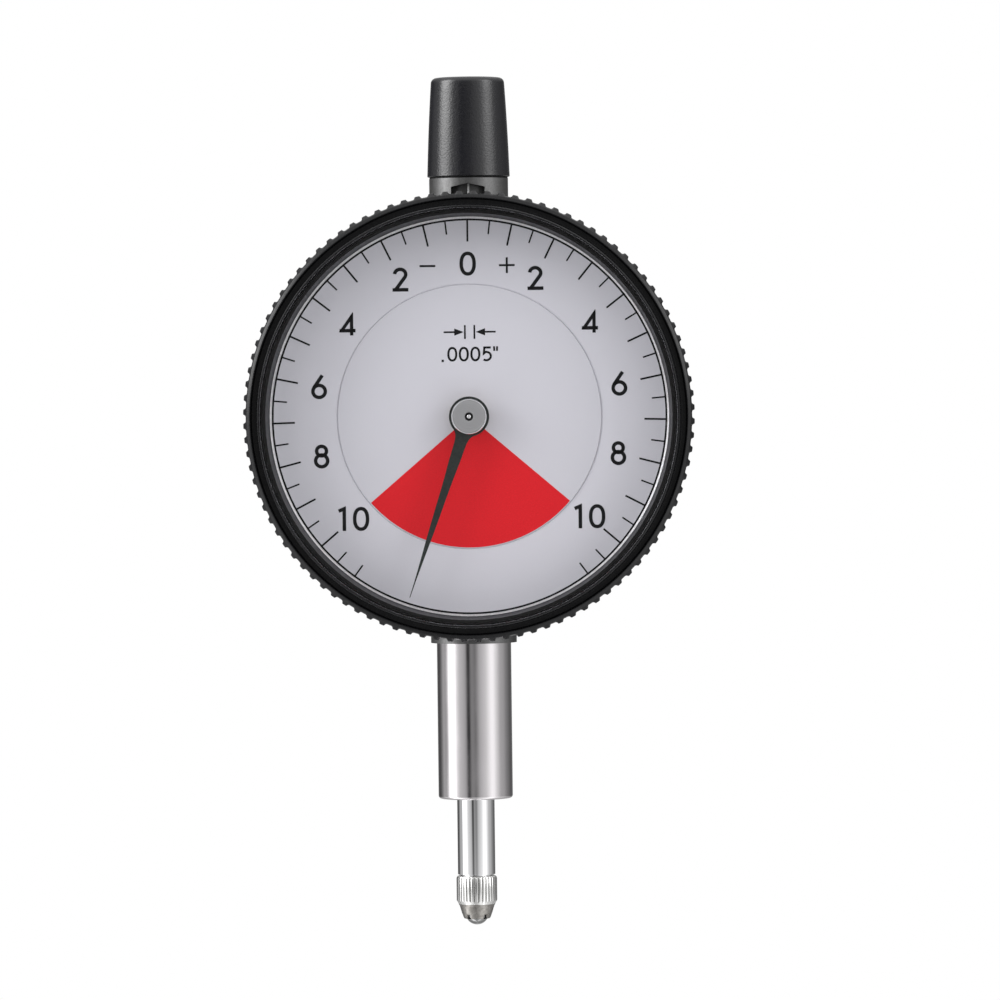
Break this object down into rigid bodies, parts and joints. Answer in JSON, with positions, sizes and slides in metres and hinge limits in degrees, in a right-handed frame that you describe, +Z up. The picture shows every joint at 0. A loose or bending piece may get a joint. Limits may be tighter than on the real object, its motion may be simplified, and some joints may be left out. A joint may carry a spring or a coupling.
{
  "type": "dial indicator",
  "caption": "Round-dial indicator with knurled bezel, clamping stem, sprung spindle with ball contact, dust cap and a lug back, with its gear train inside.",
  "frame": {"origin": "middle of the stem's clamping length, on the spindle's axis", "axes": "+X to the right as the dial is read, +Y away from the reader, +Z up along the spindle"},
  "size_m": [0.057, 0.0389, 0.1085],
  "materials": {
    "case_satin": "satin, fine bead-blasted",
    "cover_satin": "satin, turned",
    "ground_steel": "ground",
    "polished_steel": "polished",
    "screw_steel": "turned",
    "spring_steel": "bright wire",
    "carbide": "lapped",
    "brass": "turned",
    "black_cap": "satin, moulded",
    "bezel_black": "black anodised, semi-gloss",
    "inner_ring_grey": "fine textured",
    "pointer_black": "matt",
    "turned_disc": "turned rings",
    "dial_print": "printed, satin",
    "crystal": "clear acrylic, polished",
    "gasket": "matt"
  },
  "bodies": {
    "case": {"case_shell": "case_satin", "bezel_retainer": "spring_steel", "stem": "ground_steel", "lower_bush": "brass", "middle_bush": "brass", "upper_bush": "brass", "top_sleeve": "case_satin", "dust_cap": "black_cap", "back_cover": "cover_satin", "cover_gasket": "gasket", "back_screws": "screw_steel", "bridge_plate": "brass", "bridge_pillars": "brass", "bridge_screws": "screw_steel", "front_centre_bush": "brass", "rear_centre_bush": "brass", "hairspring_stud": "brass", "guide_block": "brass", "carriage_guide_rod": "ground_steel"},
    "bezel": {"bezel_ring": "bezel_black", "inner_ring": "inner_ring_grey", "dial_plate": "dial_print", "crystal": "crystal", "crystal_gasket": "gasket"},
    "pointer": {"centre_pinion": "ground_steel", "pointer": "pointer_black", "pointer_hub": "brass", "hub_disc": "turned_disc"},
    "sector": {"sector_gear": "brass", "sector_arbor": "ground_steel"},
    "takeup": {"takeup_wheel": "brass", "takeup_arbor": "ground_steel", "hairspring": "spring_steel"},
    "carriage": {"rack_carriage": "ground_steel"},
    "spindle": {"spindle": "polished_steel", "spindle_collar": "screw_steel", "guide_pin": "ground_steel", "spindle_spring": "spring_steel", "contact_body": "polished_steel", "contact_ball": "carbide"}
  },
  "joints": [
    {"name": "measuring_travel", "type": "slide", "parent": "case", "child": "carriage", "axis": [0, 0, 1], "range_m": [0, 0.000625], "stiffness_N_per_m": 60, "springref_m": -0.01},
    {"name": "pointer_turn", "type": "hinge", "parent": "case", "child": "pointer", "pos_m": [0, -0.0118, 0.039], "axis": [0, 1, 0], "range_deg": [0, 322]},
    {"name": "sector_turn", "type": "hinge", "parent": "case", "child": "sector", "pos_m": [-0.0035, -0.006, 0.02326], "axis": [0, 1, 0], "range_deg": [-22.6, 0]},
    {"name": "takeup_turn", "type": "hinge", "parent": "case", "child": "takeup", "pos_m": [0.00445, -0.005, 0.04345], "axis": [0, 1, 0], "range_deg": [-65, 0]},
    {"name": "overtravel", "type": "slide", "parent": "carriage", "child": "spindle", "axis": [0, 0, 1], "range_m": [0, 0.0029], "stiffness_N_per_m": 60, "springref_m": -0.014, "deforming": ["spindle_spring"]},
    {"name": "bezel_turn", "type": "hinge", "parent": "case", "child": "bezel", "pos_m": [0, -0.01, 0.039], "axis": [0, 1, 0], "continuous": true}
  ],
  "couplings": [
    {"joint": "pointer_turn", "follows": "measuring_travel", "rad_per_m": 8973.2},
    {"joint": "sector_turn", "follows": "measuring_travel", "rad_per_m": -625},
    {"joint": "takeup_turn", "follows": "measuring_travel", "rad_per_m": -1794.6}
  ]
}
